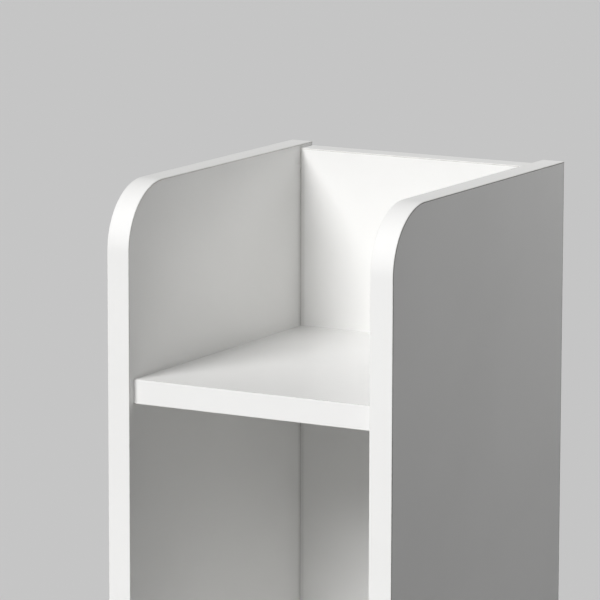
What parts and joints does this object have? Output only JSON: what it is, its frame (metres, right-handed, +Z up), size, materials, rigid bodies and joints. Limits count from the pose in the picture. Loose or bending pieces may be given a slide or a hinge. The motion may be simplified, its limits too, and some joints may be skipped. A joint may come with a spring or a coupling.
{
  "type": "column cabinet",
  "caption": "Narrow white column cabinet with a round-cornered open tray on top, an open niche, and a cupboard with a hinged door and a knob.",
  "frame": {"origin": "middle of the outline on the floor, with the knob counted in the depth", "axes": "+Z up, the front faces -Y, +X to the right seen from the front"},
  "size_m": [0.155, 0.1976, 0.8],
  "materials": {
    "white_board": "white melamine on particle board, fine satin texture",
    "white_edge_band": "smooth white plastic edge band, semi-gloss",
    "white_plastic": "moulded white plastic",
    "zinc_steel": "bright zinc plated steel",
    "plate_steel": "plated sheet steel",
    "die_cast_zinc": "die cast zinc, dull",
    "satin_nickel": "satin nickel plating",
    "ferrite": "dark sintered ferrite",
    "beech": "plain beech"
  },
  "bodies": {
    "carcass": {"side_left": "white_board", "side_left_band": "white_edge_band", "side_left_rear_band": "white_edge_band", "side_right": "white_board", "side_right_band": "white_edge_band", "side_right_rear_band": "white_edge_band", "back_board": "white_board", "back_board_band": "white_edge_band", "tray_shelf": "white_board", "tray_shelf_band": "white_edge_band", "niche_shelf": "white_board", "niche_shelf_band": "white_edge_band", "bottom_panel": "white_board", "bottom_panel_band": "white_edge_band", "plinth": "white_board", "loose_shelf": "white_board", "loose_shelf_band": "white_edge_band", "shelf_pins": "zinc_steel", "carcass_pivot_bushes": "white_plastic", "catch_housing": "white_plastic", "catch_magnet": "ferrite", "catch_pole_plates": "plate_steel", "catch_screws": "zinc_steel", "cam_bolts": "zinc_steel", "cam_locks": "die_cast_zinc", "cam_caps": "white_plastic", "wood_dowels": "beech", "back_screws": "zinc_steel", "glides": "white_plastic", "glide_nails": "zinc_steel"},
    "door": {"door": "white_board", "door_bands": "white_edge_band", "door_pivot_pins": "zinc_steel", "door_pivot_bushes": "white_plastic", "knob": "satin_nickel", "knob_screw": "zinc_steel", "strike_plate": "plate_steel", "strike_screw": "zinc_steel"}
  },
  "joints": [
    {"name": "door_hinge", "type": "hinge", "parent": "carcass", "child": "door", "pos_m": [-0.055, -0.07075, 0.2835], "axis": [0, 0, -1], "range_deg": [0, 105]}
  ]
}
